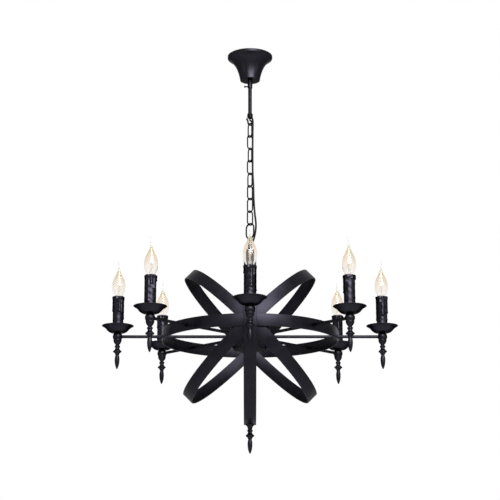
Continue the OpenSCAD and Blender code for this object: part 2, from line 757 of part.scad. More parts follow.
// Screw cap with the bulb's inner stem and filament
module bulb_cap(k) {
    contact_r = 3;
    skirt_r = 8.3;
    stem_h = 15;
    wire_r = 0.4;
    wire_x = 3.2;
    wire_lean = 9;
    coil_r = 0.7;
    cap = [[0, cap_low - 2], [contact_r, cap_low - 2], [contact_r + 0.4, cap_low - 0.6], [cap_r - 1, cap_low],
        [cap_r, cap_low + 1.2], [cap_r, holder_top], [skirt_r, cap_top - 1], [skirt_r, cap_top], [0, cap_top]];
    color(brass) to_lamp(k) {
        rotate_extrude($fn = round_fn) polygon(cap);
        translate([0, 0, cap_top - over]) cylinder(r1 = 4.5, r2 = 2, h = stem_h + over, $fn = fine);
        for (s = [-1, 1]) translate([s * 1.3, 0, cap_top + stem_h - 3]) rotate([0, s * wire_lean, 0])
            cylinder(r = wire_r, h = 15, $fn = fine);
        translate([0, 0, cap_top + stem_h + 10.5]) rotate([0, 90, 0])
            cylinder(r = coil_r, h = 2 * wire_x + 1.2, center = true, $fn = fine);
    }
}

module bottom_finial() {
    top_r = 11.3;
    stud_len = 9;
    outline = concat([[0, 0], [top_r, 0], [top_r, -1]],
        bend([top_r, -1], [6.4, -5], [5.8, -10.5], 5),
        [drop_neck + [0, finial_disc]], lifted(drop_outline, finial_disc));
    color(iron) to_cage() translate([0, 0, -hoop_r - 0.1]) {
        rotate_extrude($fn = round_fn) polygon(outline);
        cylinder(r = stud_r, h = stud_len, $fn = fine);
    }
}

ceiling_bracket();
terminal_block();
stem_nuts();
stem_tube();
stem_hook();
supply_cable();
canopy();
canopy_collar();
collar_screw();
for (k = LINKS) chain_link(k);
top_eye();
vertical_hoop();
ring_hoop();
left_diagonal_hoop();
right_diagonal_hoop();
centre_column();
hub_body();
hub_cover();
hub_cap_nut();
frame_nuts();
wire_connectors();
bottom_finial();
arms();
arm_collars();
arm_leads();
lamp_balls();
lamp_nipples();
lampholders();
candle_sleeves();
for (k = LAMPS) drip_pan(k);
for (k = LAMPS) bulb_glass(k);
for (k = LAMPS) bulb_cap(k);
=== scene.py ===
import bpy, bmesh, math, random
from mathutils import Matrix, Vector


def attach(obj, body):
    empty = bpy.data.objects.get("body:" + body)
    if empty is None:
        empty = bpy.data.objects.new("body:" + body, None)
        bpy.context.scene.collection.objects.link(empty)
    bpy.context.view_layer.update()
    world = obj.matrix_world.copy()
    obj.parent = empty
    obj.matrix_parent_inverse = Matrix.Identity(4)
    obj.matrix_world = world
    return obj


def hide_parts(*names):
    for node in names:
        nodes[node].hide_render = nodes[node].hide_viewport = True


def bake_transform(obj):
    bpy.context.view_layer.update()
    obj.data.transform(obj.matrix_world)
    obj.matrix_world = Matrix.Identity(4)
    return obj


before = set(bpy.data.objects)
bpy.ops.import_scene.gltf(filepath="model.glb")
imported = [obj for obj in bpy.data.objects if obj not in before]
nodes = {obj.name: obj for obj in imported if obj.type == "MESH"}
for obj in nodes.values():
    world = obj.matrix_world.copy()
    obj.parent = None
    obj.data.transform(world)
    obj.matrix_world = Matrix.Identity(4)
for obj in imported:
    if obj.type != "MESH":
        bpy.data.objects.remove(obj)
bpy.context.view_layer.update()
mm = 0.001

# Camera first: the photograph's own angle, solved from the arms and hoops
view = {"place": (0, -3617, -1470), "pitch": 14.42, "lens": 103.1, "sensor": 36,
        "farthest": 50}  # the place in millimetres, the farthest in metres
cameraData = bpy.data.cameras.new("camera")
cameraData.lens = view["lens"]
cameraData.sensor_width = view["sensor"]
cameraData.clip_end = view["farthest"]
camera = bpy.data.objects.new("camera", cameraData)
camera.location = Vector(view["place"]) * mm
camera.rotation_euler = (math.radians(90 + view["pitch"]), 0, 0)
bpy.context.collection.objects.link(camera)
bpy.context.scene.camera = camera
print("camera placed")


# Shared shapes, all in millimetres in the frame's own axes

def bend(a, c, b, n):
    # a quadratic curve from a to b that leans towards c, without its first point
    out = []
    for i in range(1, n + 1):
        t = i / n
        out.append(tuple(p * (1 - t) ** 2 + q * 2 * t * (1 - t) + r * t * t for p, q, r in zip(a, c, b)))
    return out


def outline(start, *legs):
    # the line of (r, z) points after start; a leg is a point, or the middle, end and count of a bend
    out, last = [], start
    for leg in legs:
        if len(leg) == 2:
            out.append(leg)
            last = leg
        else:
            out += bend(last, *leg)
            last = leg[1]
    return out


def roundSide(radius, high, span, count, first=0):
    # (r, z) points down the side of a ball, from the height high over the height span
    heights = [high - i * (span / count) for i in range(first, count + 1)]
    return [(math.sqrt(radius ** 2 - z * z), z) for z in heights]


rounding = {"least": 25, "steps": 4}  # the smallest turn in degrees that is rounded, and its points


def softened(points, radius):
    # rounds the corners of a line of (r, z) points
    out = [points[0]]
    for a, b, c in zip(points, points[1:], points[2:]):
        u, v = Vector(a) - Vector(b), Vector(c) - Vector(b)
        if min(u.length, v.length) < 0.02 or math.pi - u.angle(v) < math.radians(rounding["least"]):
            out.append(b)
            continue
        cut = min(radius, u.length * 0.45, v.length * 0.45)
        first, last = Vector(b) + u.normalized() * cut, Vector(b) + v.normalized() * cut
        out.append(tuple(first))
        out += bend(tuple(first), b, tuple(last), rounding["steps"])
    out.append(points[-1])
    return out


def addMesh(name, verts, faces, material, sharp):
    mesh = bpy.data.meshes.new(name)
    mesh.from_pydata([Vector(v) * mm for v in verts], [], faces)
    mesh.validate()
    mesh.shade_smooth()
    mesh.set_sharp_from_angle(angle=math.radians(sharp))
    mesh.materials.append(material)
    piece = bpy.data.objects.new(name, mesh)
    bpy.context.collection.objects.link(piece)
    return piece


def fixNormals(piece):
    work = bmesh.new()
    work.from_mesh(piece.data)
    bmesh.ops.recalc_face_normals(work, faces=work.faces)
    work.to_mesh(piece.data)
    work.free()


def turned(name, profile, material, at, segments, shift=None, closed=False, sharp=40):
    # spins a line of (r, z) points; shift(angle, r, z) may move a point's radius and height
    verts, faces, rings = [], [], []
    for r, z in profile:
        if r < 1e-6:
            rings.append([len(verts)])
            verts.append((at[0], at[1], at[2] + z))
            continue
        ring = []
        for s in range(segments):
            a = 2 * math.pi * s / segments
            rr, zz = shift(a, r, z) if shift else (r, z)
            ring.append(len(verts))
            verts.append((at[0] + rr * math.cos(a), at[1] + rr * math.sin(a), at[2] + zz))
        rings.append(ring)
    pairs = list(zip(rings, rings[1:]))
    if closed:
        pairs.append((rings[-1], rings[0]))
    for p, q in pairs:
        for s in range(segments):
            n = (s + 1) % segments
            if len(p) == 1 and len(q) == 1:
                break
            if len(p) == 1:
                faces.append((p[0], q[s], q[n]))
            elif len(q) == 1:
                faces.append((p[s], q[0], p[n]))
            else:
                faces.append((p[s], q[s], q[n], p[n]))
    piece = addMesh(name, verts, faces, material, sharp)
    fixNormals(piece)
    return piece


def carriedFrames(points, closed):
    # square frames carried along a line without twist
    pts = [Vector(p) for p in points]
    n = len(pts)
    tangents = []
    for i in range(n):
        a = pts[(i - 1) % n] if closed or i else pts[0]
        b = pts[(i + 1) % n] if closed or i < n - 1 else pts[-1]
        tangents.append((b - a).normalized())
    side = tangents[0].orthogonal().normalized()
    out = []
    for t in tangents:
        side = (side - t * side.dot(t)).normalized()
        out.append((side.copy(), t.cross(side).normalized()))
    return pts, out


def swept(name, points, radius, material, sides, closed=False, sharp=60):
    # a round rod along points; radius is a number or one per point
    pts, axes = carriedFrames(points, closed)
    verts, faces = [], []
    for i, (p, (u, v)) in enumerate(zip(pts, axes)):
        r = radius[i] if isinstance(radius, list) else radius
        for s in range(sides):
            a = 2 * math.pi * s / sides
            verts.append(p + u * (r * math.cos(a)) + v * (r * math.sin(a)))
    n = len(pts)
    for i in range(n - 1):
        for s in range(sides):
            m = (s + 1) % sides
            faces.append((i * sides + s, i * sides + m, (i + 1) * sides + m, (i + 1) * sides + s))
    end = (n - 1) * sides
    if closed:
        # the last ring meets the first at the nearest turn
        shift = min(range(sides), key=lambda s: (verts[end + s] - verts[0]).length)
        for s in range(sides):
            m = (s + 1) % sides
            faces.append((end + (s + shift) % sides, end + (m + shift) % sides, m, s))
    else:
        faces.append(tuple(range(sides - 1, -1, -1)))
        faces.append(tuple(end + s for s in range(sides)))
    piece = addMesh(name, verts, faces, material, sharp)
    fixNormals(piece)
    return piece


def spline(points, steps):
    # a smooth line through points
    out = []
    for i in range(len(points) - 1):
        a, b, c, d = (Vector(points[min(max(i + k, 0), len(points) - 1)]) for k in (-1, 0, 1, 2))
        for j in range(steps):
            t = j / steps
            out.append(0.5 * (2 * b + (c - a) * t + (2 * a - 5 * b + 4 * c - d) * t ** 2
                              + (3 * b - a - 3 * c + d) * t ** 3))
    out.append(Vector(points[-1]))
    return out


def put(piece, body, slot, *replaced):
    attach(piece, body)
    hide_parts(*replaced)


# Materials

grainLook = {"fine": 900, "coarse": 60, "depth": 0.2, "fineDetail": 3, "coarseDetail": 5, "fineShare": 0.35,
             "bumpDistance": 0.0002, "band": (0.3, 0.7)}  # the part of the mask that a finish is spread over


def nodeTree(name):
    material = bpy.data.materials.new(name)
    material.use_nodes = True
    tree = material.node_tree
    return material, tree, tree.nodes["Principled BSDF"]


def grainGroup():
    # two scales of noise as one mask and one normal, shared by every coated surface
    group = bpy.data.node_groups.new("coatGrain", "ShaderNodeTree")
    for label in ("Fine", "Coarse", "Depth"):
        socket = group.interface.new_socket(name=label, in_out="INPUT", socket_type="NodeSocketFloat")
        socket.default_value = grainLook[label.lower()]
    group.interface.new_socket(name="Mask", in_out="OUTPUT", socket_type="NodeSocketFloat")
    group.interface.new_socket(name="Normal", in_out="OUTPUT", socket_type="NodeSocketVector")
    n, link = group.nodes, group.links.new
    into, out = n.new("NodeGroupInput"), n.new("NodeGroupOutput")
    place = n.new("ShaderNodeTexCoord")
    noises = []
    for label, detail in (("Fine", grainLook["fineDetail"]), ("Coarse", grainLook["coarseDetail"])):
        noise = n.new("ShaderNodeTexNoise")
        noise.inputs["Detail"].default_value = detail
        link(place.outputs["Object"], noise.inputs["Vector"])
        link(into.outputs[label], noise.inputs["Scale"])
        noises.append(noise)
    fine, coarse = noises
    both = n.new("ShaderNodeMath")
    both.operation = "MULTIPLY_ADD"
    both.inputs[1].default_value = grainLook["fineShare"]
    link(fine.outputs["Fac"], both.inputs[0])
    link(coarse.outputs["Fac"], both.inputs[2])
    bump = n.new("ShaderNodeBump")
    bump.inputs["Distance"].default_value = grainLook["bumpDistance"]
    link(into.outputs["Depth"], bump.inputs["Strength"])
    link(both.outputs[0], bump.inputs["Height"])
    link(coarse.outputs["Fac"], out.inputs["Mask"])
    link(bump.outputs["Normal"], out.inputs["Normal"])
    return group


grain = grainGroup()


def coated(name, look):
    # colour and roughness wander between two values; edge is a dark specular tint that paints shade on the
    # rims, holding back their reflection at a grazing angle
    material, tree, shader = nodeTree(name)
    n, link = tree.nodes, tree.links.new
    noise = n.new("ShaderNodeGroup")
    noise.node_tree = grain
    for label in ("Fine", "Coarse", "Depth"):
        noise.inputs[label].default_value = look.get(label.lower(), grainLook[label.lower()])
    colour = n.new("ShaderNodeValToRGB")
    for step, at, key in zip(colour.color_ramp.elements, grainLook["band"], ("dark", "light")):
        step.position = at
        step.color = (*look[key], 1)
    link(noise.outputs["Mask"], colour.inputs["Fac"])
    link(colour.outputs["Color"], shader.inputs["Base Color"])
    rough = n.new("ShaderNodeMapRange")
    rough.inputs["From Min"].default_value, rough.inputs["From Max"].default_value = grainLook["band"]
    rough.inputs["To Min"].default_value, rough.inputs["To Max"].default_value = look["rough"]
    link(noise.outputs["Mask"], rough.inputs["Value"])
    link(rough.outputs["Result"], shader.inputs["Roughness"])
    link(noise.outputs["Normal"], shader.inputs["Normal"])
    shader.inputs["Metallic"].default_value = look.get("metallic", 0)
    # painted shade on the rims: the dark specular tint holds back the reflection at a grazing angle
    shader.inputs["Specular Tint"].default_value = (*[look.get("edge", 1)] * 3, 1)
    return material


def tinted(tree, shader, place, look):
    # the glass is tinted most at its shoulder and towards its edges, and clear at its foot and tip
    n, link = tree.nodes, tree.links.new
    split, height, tint = (n.new("ShaderNode" + kind) for kind in ("SeparateXYZ", "MapRange", "ValToRGB"))
    height.inputs["From Min"].default_value, height.inputs["From Max"].default_value = look["between"]
    link(place.outputs["Object"], split.inputs[0])
    link(split.outputs["Z"], height.inputs["Value"])
    link(height.outputs["Result"], tint.inputs["Fac"])
    steps = tint.color_ramp.elements
    while len(steps) < len(look["tints"]):
        steps.new(0.5)
    for step, (at, colour) in zip(steps, look["tints"]):
        step.position = at
        step.color = (*colour, 1)
    side, band, both = (n.new("ShaderNode" + kind) for kind in ("LayerWeight", "MapRange", "Mix"))
    side.inputs["Blend"].default_value = 0.5
    band.inputs["From Min"].default_value, band.inputs["From Max"].default_value = look["sides"]
    link(side.outputs["Facing"], band.inputs["Value"])
    both.data_type = "RGBA"
    both.inputs["A"].default_value = (1, 1, 1, 1)
    link(band.outputs["Result"], both.inputs["Factor"])
    link(tint.outputs["Color"], both.inputs["B"])
    link(both.outputs["Result"], shader.inputs["Base Color"])
    volume = n.new("ShaderNodeVolumeAbsorption")
    volume.inputs["Color"].default_value = (*look["absorb"], 1)
    volume.inputs["Density"].default_value = look["density"]
    link(volume.outputs["Volume"], n["Material Output"].inputs["Volume"])


def glassy(name, look):
    material, tree, shader = nodeTree(name)
    n, link = tree.nodes, tree.links.new
    noise, place, bump = (n.new("ShaderNode" + kind) for kind in ("TexNoise", "TexCoord", "Bump"))
    noise.inputs["Scale"].default_value = look["scale"]
    link(place.outputs["Object"], noise.inputs["Vector"])
    bump.inputs["Strength"].default_value = look["wave"]
    bump.inputs["Distance"].default_value = 0.001
    link(noise.outputs["Fac"], bump.inputs["Height"])
    link(bump.outputs["Normal"], shader.inputs["Normal"])
    shader.inputs["Base Color"].default_value = (*look["colour"], 1)
    shader.inputs["Roughness"].default_value = look["rough"]
    shader.inputs["IOR"].default_value = look["ior"]
    shader.inputs["Transmission Weight"].default_value = 1
    if "tints" in look:
        tinted(tree, shader, place, look)
    return material


def glowing(name, colour, strength):
    material, tree, shader = nodeTree(name)
    shader.inputs["Base Color"].default_value = (*colour, 1)
    shader.inputs["Emission Color"].default_value = (*colour, 1)
    shader.inputs["Emission Strength"].default_value = strength
    return material


# edge sets the painted shade on each finish's rims, as a dark specular tint
looks = {
    "iron": {"dark": (0.0108, 0.0104, 0.0133), "light": (0.0150, 0.0145, 0.0184), "rough": (0.34, 0.44),
             "depth": 0.25, "metallic": 1, "edge": 0.35},
    "hoop": {"dark": (0.0096, 0.0092, 0.0123), "light": (0.0130, 0.0125, 0.0167), "rough": (0.36, 0.46),
             "coarse": 35, "metallic": 1, "edge": 0.6},
    "wax": {"dark": (0.0090, 0.0086, 0.0115), "light": (0.0175, 0.0168, 0.0218), "rough": (0.22, 0.32),
            "coarse": 120, "fine": 500, "depth": 0.3, "metallic": 1, "edge": 0.3},
    "link": {"dark": (0.0050, 0.0048, 0.0060), "light": (0.0072, 0.0069, 0.0086), "rough": (0.36, 0.46),
             "metallic": 1, "edge": 0.1},
    "stemTube": {"dark": (0.0078, 0.0076, 0.0095), "light": (0.0098, 0.0095, 0.0118), "rough": (0.20, 0.26),
                 "depth": 0.1, "metallic": 1, "edge": 0.1},
    "canopy": {"dark": (0.0122, 0.0117, 0.0150), "light": (0.0140, 0.0134, 0.0172), "rough": (0.29, 0.32),
               "coarse": 30, "depth": 0.06, "metallic": 1, "edge": 0.5},
    "cable": {"dark": (0.0072, 0.0069, 0.0084), "light": (0.0100, 0.0096, 0.0116), "rough": (0.44, 0.54),
              "depth": 0.1, "metallic": 1, "edge": 0.1},
    "zinc": {"dark": (0.16, 0.16, 0.17), "light": (0.26, 0.26, 0.27), "rough": (0.5, 0.65), "metallic": 1,
             "depth": 0.15},
    "brass": {"dark": (0.5, 0.38, 0.18), "light": (0.72, 0.58, 0.32), "rough": (0.28, 0.42), "metallic": 1},
    "paleMoulded": {"dark": (0.72, 0.7, 0.64), "light": (0.82, 0.8, 0.75), "rough": (0.4, 0.55),
                    "depth": 0.1},
    "steelWire": {"dark": (0.30, 0.28, 0.26), "light": (0.42, 0.40, 0.37), "rough": (0.3, 0.4),
                  "metallic": 1},
    "floor": {"dark": (0.86, 0.86, 0.86), "light": (0.9, 0.9, 0.9), "rough": (0.6, 0.7), "coarse": 3,
              "fine": 60, "depth": 0.02},
}
glassLooks = {
    "bulb": {"colour": (1.0, 0.97, 0.92), "wave": 0.008, "scale": 60, "rough": 0.05, "ior": 1.45,
             "absorb": (0.86, 0.64, 0.46), "density": 70, "sides": (-0.3, 0.35),
             "between": (-0.668, -0.568),  # heights of a bulb's foot and tip in metres, for the tints
             "tints": [(0.0, (0.97, 0.97, 0.97)), (0.28, (0.95, 0.915, 0.865)), (0.45, (0.91, 0.82, 0.71)),
                       (0.56, (0.88, 0.79, 0.64)), (0.66, (0.76, 0.70, 0.48)), (0.72, (0.84, 0.80, 0.66)),
                       (0.79, (0.86, 0.84, 0.88))]},
    "stem": {"colour": (0.98, 0.95, 0.9), "wave": 0.01, "scale": 40, "rough": 0.08, "ior": 1.2},
}
stuff = {key: coated(key + "Finish", look) for key, look in looks.items()}
stuff.update({key: glassy(key + "Glass", look) for key, look in glassLooks.items()})
# painted glow: the filament gives off a faint light of its own, though it is no lamp
stuff["filament"] = glowing("filamentGlow", (0.62, 0.50, 0.30), 0.25)
print("materials made")

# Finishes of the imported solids; bulbs apart, those not named here are iron, or hoop where the name says so
solidFinish = {"ceiling_bracket": "zinc", "stem_nuts": "zinc", "frame_nuts": "zinc", "lamp_nipples": "zinc",
               "terminal_block": "paleMoulded", "wire_connectors": "paleMoulded",
               "lampholders": "paleMoulded", "supply_cable": "cable", "arm_leads": "cable",
               "candle_sleeves": "wax", "stem_tube": "stemTube", "stem_hook": "link", "top_eye": "link"}


def finishOf(name):
    if name.startswith("bulb_glass"):
        return "bulb"
    if name.startswith("bulb_cap"):
        return "brass"
    return solidFinish.get(name, "hoop" if "hoop" in name else "iron")


for name, node in nodes.items():
    for slot in node.material_slots:
        slot.material = stuff[finishOf(name)]
print("solids finished")

# Candle sleeves with a melted lip and runs of wax

lampRing = {"height": -770, "radius": 340, "count": 8}
cageZ = lampRing["height"]
lampNumbers = range(lampRing["count"])


def lampPlace(k):
    a = math.radians(360 / lampRing["count"] * k)
    return (lampRing["radius"] * math.sin(a), -lampRing["radius"] * math.cos(a), cageZ)


wax = {"radius": 13.9, "low": 11.85, "top": 105.0, "inner": 12.45, "brim": 13.0, "brimDown": 1.2,
       "rows": 110, "segments": 112, "lip": 1.1, "lipHigh": 7.0, "lipDown": 3.2, "lipSharp": 1.6,
       "runs": 10, "runHigh": 2.3, "runWide": (2.3, 3.4), "runLong": (10, 17, 26, 38, 52, 66),
       "beadUp": 1.6, "beadLong": 2.6, "fade": 1.9, "wander": 0.02, "wanderPitch": 0.13,
       "reach": 2.4,  # how far the wax may stand out
       "seed": 5}
waxProfile = [(wax["radius"], wax["low"] + (wax["top"] - wax["low"]) * i / wax["rows"])
              for i in range(wax["rows"])]
waxProfile += bend((wax["radius"], wax["top"] - wax["brimDown"]), (wax["radius"], wax["top"]),
                   (wax["brim"], wax["top"]), 5)
waxProfile += [(wax["inner"], wax["top"] - 0.5), (wax["inner"], wax["top"] - 12), (wax["inner"], wax["low"])]


def sleeve(k):
    rng = random.Random(wax["seed"] + 31 * k)
    runs = []
    for i in range(wax["runs"]):
        runs.append({"at": 2 * math.pi * (i + rng.uniform(-0.3, 0.3)) / wax["runs"],
                     "end": wax["top"] - rng.choice(wax["runLong"]) * rng.uniform(0.8, 1.2),
                     "wide": rng.uniform(*wax["runWide"]), "high": rng.uniform(0.65, 1.0) * wax["runHigh"],
                     "wander": rng.uniform(-wax["wander"], wax["wander"])})

    def melted(a, r, z):
        if r < wax["inner"] + 0.3:  # the inside stays round
            return r, z
        grow = 0.0
        for run in runs:
            sway = run["wander"] * math.sin(z * wax["wanderPitch"])
            off = (a - run["at"] - sway + math.pi) % (2 * math.pi) - math.pi
            side = off * wax["radius"]
            bead = math.exp(-((z - run["end"] - wax["beadUp"]) / wax["beadLong"]) ** 2)
            above = 1 / (1 + math.exp((run["end"] - z) * wax["fade"]))  # nothing below the run's end
            wide = run["wide"] * (1 + 0.3 * bead)
            grow = max(grow, run["high"] * (0.75 + 0.45 * bead) * above * math.exp(-(side / wide) ** 2))
        lip = math.exp(-((z - wax["top"] + wax["lipDown"]) / wax["lipHigh"] * wax["lipSharp"]) ** 2)
        wave = 0.5 + 0.5 * math.sin(3 * a + k) * math.sin(5 * a - 2 * k)
        rise = 0.5 * math.sin(4 * a + 1.7 * k) + 0.35 * math.sin(7 * a - k) if z > wax["top"] - 1.5 else 0
        grow = min(grow + lip * wax["lip"] * (0.7 + 0.3 * wave) + 0.1 * math.sin(z * 0.4 + 3 * a),
                   wax["reach"])
        return r + grow, z + min(rise, 0) * 0.8

    put(turned(f"waxSleeve{k + 1}", waxProfile, stuff["wax"], lampPlace(k), wax["segments"], melted,
               closed=True, sharp=70), "cage", "sleeve", "candle_sleeves")


for k in lampNumbers:
    sleeve(k)
print("sleeves made")

# Balls with turned drops, and pans; the finial below the cage has the same drop

drop = {"neck": (4.8, 15.6), "segments": 72,  # heights are from the middle of the drop's widest disc
        "legs": [((7.5, 15.2), (7.1, 12.8), 8), ((7, 10.4), (5.2, 9.6), 8), ((5.4, 5.4), (8.4, 3), 8),
                 (10.6, 1.3), ((11.5, 0), (10.6, -1.3), 8), ((6.4, -3.6), (5.4, -7.2), 8),
                 ((5.2, -8.8), (4.3, -9.2), 5), ((6.1, -14), (6.2, -21), 10), ((6.2, -33), (2.6, -42), 12),
                 ((1.5, -45.2), (0, -45.6), 6)]}


def dropLine(disc):
    return [(r, h + disc) for r, h in [drop["neck"]] + outline(drop["neck"], *drop["legs"])]


ball = {"radius": 12.5, "flat": (6.4, 10.5), "high": 10.3, "span": 17.2, "seat": (9.9, -7.5), "disc": -38.5}
ballLine = [(0, ball["flat"][1]), ball["flat"]] \
    + roundSide(ball["radius"], ball["high"], ball["span"], 24, 1) \
    + [(ball["seat"][0], -7.1), ball["seat"]] \
    + outline(ball["seat"], ((11.3, -8.6), (10.2, -12), 8), ((8.6, -17.4), (5.2, -20.2), 8)) \
    + dropLine(ball["disc"])

pan = {"bore": 5.3, "under": (18.5, 10.6), "top": (18.4, 11.8), "rim": (39.0, 28.7), "segments": 112}
panTop = outline(pan["top"], ((24.1, 14.0), (28.1, 19.4), 10), ((31.6, 24.3), pan["rim"], 12))
panLine = [(pan["bore"], pan["under"][1]), pan["under"]] \
    + outline(pan["under"], ((24.5, 12.8), (28.5, 18.2), 10), ((32, 23.2), (40.2, 27.6), 12),
              ((41.4, 28.2), (40.6, 28.9), 6), ((39.8, 29.3), pan["rim"], 5)) \
    + panTop[-2::-1] + [pan["top"], (pan["bore"], pan["top"][1])]

for k in lampNumbers:
    place = lampPlace(k)
    put(turned(f"ballDrop{k + 1}", ballLine, stuff["iron"], place, drop["segments"]), "cage", "black_iron",
        "lamp_balls")
    put(turned(f"dripPan{k + 1}", panLine, stuff["iron"], place, pan["segments"], closed=True), "cage",
        "black_iron", f"drip_pan_{k + 1}")
print("balls and pans made")

# Bulbs: glass with a drawn-out tip, screw cap, inner stem, three wires and the filament

bulb = {"foot": 101.6, "wide": 17.4, "wall": 0.7, "tail": 76, "segments": 64, "curl": 0.0030, "lean": 0.035,
        "tip": [(1.9, 4), (1.7, 8), (1.5, 12), (1.3, 16), (1.1, 20), (0.9, 23), (0.6, 24.6), (0, 25)],
        "tipTurns": [200, 150, 20, 100, 0, 260, 170, 190]}  # the way that each tip leans, in degrees
foot, wide, tail = bulb["foot"], bulb["wide"], bulb["foot"] + bulb["tail"]
bulbSkin = [(8.2, foot)] + outline(
    (8.2, foot), ((8.4, foot + 4), (wide - 6, foot + 8.5), 8), ((wide, foot + 17.5), (wide, foot + 31), 14),
    ((wide, foot + 45), (wide - 7, foot + 57), 14), ((4.4, foot + 68), (2.5, tail), 12))
bulbLining = [(max(r - bulb["wall"], 0.2), z) for r, z in bulbSkin[:-2]]
bulbLine = bulbSkin + [(r, tail + h) for r, h in bulb["tip"]] + [(0, tail - 5)] + bulbLining[::-1]

cap = {"foot": [(0, 71.5), (3.0, 71.5), (3.4, 73.0), (5.6, 74.2)], "radius": 6.35, "low": 74.6, "high": 20.4,
       "depth": 0.4, "rows": 60, "rowsPerTurn": 7.5, "segments": 48,
       "top": [(6.7, 98.0), (8.1, 100.4), (8.2, 101.5), (0, 101.5)]}
capLine = softened(cap["foot"], 0.4) \
    + [(cap["radius"] + cap["depth"] * math.sin(i * 2 * math.pi / cap["rowsPerTurn"]),
        cap["low"] + cap["high"] * i / cap["rows"]) for i in range(cap["rows"] + 1)] + cap["top"]

inner = {"stem": [(0, 101.6), (6.6, 101.6), (5.0, 104.5), (3.6, 108), (3.3, 114), (3.0, 117), (1.5, 119.5),
                  (1.3, 134), (1.9, 135.5), (1.9, 137), (0, 138)], "stemSegments": 32,
         "posts": [(1.2, 114), (1.5, 118), (4.6, 121), (5.2, 123)], "middlePost": (137.5, 142, 146),
         "wire": 0.28, "wireSides": 8, "filament": 0.22, "filamentSides": 6, "folds": 6, "spread": 5.2,
         "low": 123, "peak": 145, "peakSpread": 0.35, "lowSquash": 0.9}
stemLine = softened(inner["stem"], 0.6)


def bulbSet(k):
    place = Vector(lampPlace(k))
    body = f"bulb_{k + 1}"
    piece = turned(f"bulbGlass{k + 1}", bulbLine, stuff["bulb"], place, bulb["segments"], closed=True,
                   sharp=80)
    # the drawn-out tip leans more and more as it rises
    turn = math.radians(bulb["tipTurns"][k])
    for v in piece.data.vertices:
        h = v.co.z / mm - place.z - (tail - 4)
        if h > 0:
            lean = bulb["curl"] * h * h + bulb["lean"] * h
            v.co.x += lean * math.cos(turn) * mm
            v.co.y += lean * math.sin(turn) * mm
    put(piece, body, "amber_glass", f"bulb_glass_{k + 1}")
    put(turned(f"screwCap{k + 1}", capLine, stuff["brass"], place, cap["segments"]), body, "cap_metal",
        f"bulb_cap_{k + 1}")
    put(turned(f"glassStem{k + 1}", stemLine, stuff["stem"], place, inner["stemSegments"]), body,
        "amber_glass", f"bulb_cap_{k + 1}")

    spin = math.radians(40 * k + 12)  # each bulb was screwed in to another angle

    def spot(x, y, z):
        return place + Vector((x * math.cos(spin) - y * math.sin(spin),
                               x * math.sin(spin) + y * math.cos(spin), z))

    wires = [spline([spot(s * x, 0, z) for x, z in inner["posts"]], 5) for s in (-1, 1)]
    wires.append(spline([spot(0, 0, z) for z in inner["middlePost"]], 6))
    for i, line in enumerate(wires):
        put(swept(f"postWire{k + 1}_{i + 1}", line, inner["wire"], stuff["steelWire"], inner["wireSides"]),
            body, "cap_metal", f"bulb_cap_{k + 1}")

    # the filament rises and falls between the two posts, round the middle support
    corners = []
    for i in range(inner["folds"] + 1):
        a = math.pi * i / inner["folds"]
        x, y = -inner["spread"] * math.cos(a), inner["spread"] * math.sin(a)
        if i % 2:
            corners.append(spot(x * inner["peakSpread"], y * inner["peakSpread"], inner["peak"]))
        else:
            corners.append(spot(x, y * inner["lowSquash"], inner["low"]))
    line = [a.lerp(b, j / 10) for a, b in zip(corners, corners[1:]) for j in range(10)] + corners[-1:]
    put(swept(f"filament{k + 1}", line, inner["filament"], stuff["filament"], inner["filamentSides"]),
        body, "cap_metal", f"bulb_cap_{k + 1}")


for k in lampNumbers:
    bulbSet(k)
print("bulbs made")

# Hoops with softened edges, lapped at the front and rear poles

hoop = {"radius": 225.5, "thick": 2.5, "width": 31, "lap": 3.1, "edge": 0.7, "segments": 288}


def strapHoop(name, layer, tilt, node):
    inset = hoop["lap"] * layer
    half, t, e = hoop["width"] / 2, hoop["thick"], hoop["edge"]
    section = []
    for corner, (sx, sy) in enumerate(((1, 1), (-1, 1), (-1, -1), (1, -1))):
        for i in range(4):
            a = math.radians(90 * corner + 30 * i)
            section.append((sx * (half - e) + e * math.cos(a), sy * (t / 2 - e) + e * math.sin(a)))
    verts, faces = [], []
    n, m = hoop["segments"], len(section)
    turn = Matrix.Rotation(math.radians(tilt), 3, "Y")
    for i in range(n):
        a = 2 * math.pi * (i + 0.5) / n
        r = hoop["radius"] - t / 2
        middle = math.sqrt(r * r - (inset * math.cos(a)) ** 2) - inset * abs(math.sin(a))
        for w, h in section:
            p = Vector(((middle + h) * math.cos(a), (middle + h) * math.sin(a), w))
            verts.append(turn @ p + Vector((0, 0, cageZ)))
    for i in range(n):
        j = (i + 1) % n
        for s in range(m):
            q = (s + 1) % m
            faces.append((i * m + s, j * m + s, j * m + q, i * m + q))
    piece = addMesh(name, verts, faces, stuff["hoop"], 50)
    fixNormals(piece)
    put(piece, "cage", "black_iron", node)


strapHoop("uprightHoop", 0, 90, "vertical_hoop")
strapHoop("levelHoop", 1, 0, "ring_hoop")
strapHoop("leftHoop", 2, -45, "left_diagonal_hoop")
strapHoop("rightHoop", 3, 45, "right_diagonal_hoop")
print("hoops made")

# Hub with its parting line, finial, canopy and collar

